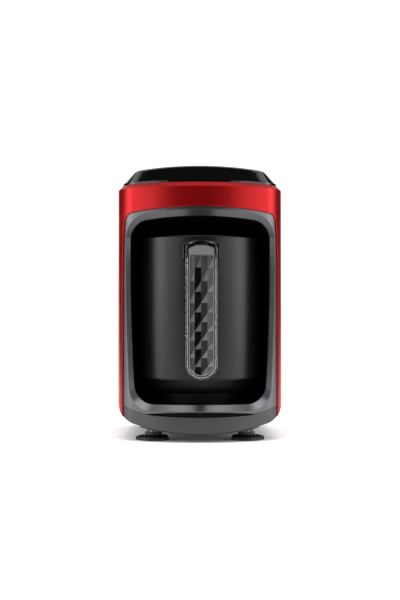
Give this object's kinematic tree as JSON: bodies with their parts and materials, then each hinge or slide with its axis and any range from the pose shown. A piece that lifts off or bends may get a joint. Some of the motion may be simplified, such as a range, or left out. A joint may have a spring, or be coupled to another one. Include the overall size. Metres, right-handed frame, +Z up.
{
  "type": "hot drink maker with docked pot",
  "caption": "Table-top hot-drink maker: an open pot with spouts and a faceted clear handle, docked in an arched open-fronted housing on suction feet.",
  "frame": {"origin": "under the middle of the whole outline, on the surface the cups stand on", "axes": "+Z up, -Y out of the bay's mouth, +X to the right seen from the front"},
  "size_m": [0.157, 0.2424, 0.2617],
  "materials": {
    "red_lacquer": "metallic lacquer",
    "gunmetal": "satin metallic",
    "gloss_black": "gloss",
    "panel_black": "satin",
    "housing_black": "fine grained",
    "bay_black": "matt",
    "pot_black": "satin",
    "clear_plastic": "clear moulded",
    "facet_grey": "faceted",
    "light_grey": "satin",
    "cup_rubber": "matt",
    "stem_grey": "smoky",
    "steel": "brushed",
    "aluminium": "turned",
    "element_steel": "oxidised",
    "brass": "bright",
    "circuit_board": "solder resist",
    "component_plastic": "plain",
    "transformer_core": "varnished",
    "lens": "translucent"
  },
  "bodies": {
    "housing": {"base_shell": "gunmetal", "board_screws": "steel", "bottom_plate": "housing_black", "buzzer": "component_plastic", "capacitors": "aluminium", "cavity_floor": "bay_black", "cavity_liner": "bay_black", "control_board": "circuit_board", "control_fascia": "panel_black", "cord_gland": "housing_black", "dock_contact_pins": "brass", "dock_socket": "bay_black", "foot_screws": "steel", "foot_stems": "stem_grey", "front_frame": "gunmetal", "indicator_lenses": "lens", "lid_trim_ring": "gloss_black", "overflow_sensor": "component_plastic", "power_board": "circuit_board", "rear_cover": "housing_black", "rear_screws": "steel", "relay": "component_plastic", "seam_inlay": "bay_black", "sensor_window": "lens", "side_and_top_shell": "red_lacquer", "suction_cups": "cup_rubber", "tact_switches": "component_plastic", "terminal_block": "component_plastic", "top_lid": "gloss_black", "transformer": "transformer_core"},
    "pot": {"outer_sleeve": "pot_black", "inner_vessel": "steel", "rim_collar": "pot_black", "base_skirt": "pot_black", "bottom_cover": "pot_black", "skirt_screws": "steel", "heater_plate": "aluminium", "heating_element": "element_steel", "thermostat": "aluminium", "pot_connector": "pot_black", "contact_sockets": "brass", "handle_spine": "pot_black", "handle_clear_cover": "clear_plastic", "handle_facet_insert": "facet_grey", "handle_top_cap": "light_grey", "handle_bracket": "gloss_black", "handle_screws": "steel"},
    "button_1": {"button_cap_1": "panel_black", "button_plunger_1": "component_plastic"},
    "button_2": {"button_cap_2": "panel_black", "button_plunger_2": "component_plastic"},
    "button_3": {"button_cap_3": "panel_black", "button_plunger_3": "component_plastic"}
  },
  "joints": [
    {"name": "pot_slide", "type": "slide", "parent": "housing", "child": "pot", "axis": [0, -1, 0], "range_m": [0, 0.2]},
    {"name": "button_1_press", "type": "slide", "parent": "housing", "child": "button_1", "axis": [0, 0, -1], "range_m": [0, 0.0012], "stiffness_N_per_m": 500},
    {"name": "button_2_press", "type": "slide", "parent": "housing", "child": "button_2", "axis": [0, 0, -1], "range_m": [0, 0.0012], "stiffness_N_per_m": 500},
    {"name": "button_3_press", "type": "slide", "parent": "housing", "child": "button_3", "axis": [0, 0, -1], "range_m": [0, 0.0012], "stiffness_N_per_m": 500}
  ]
}
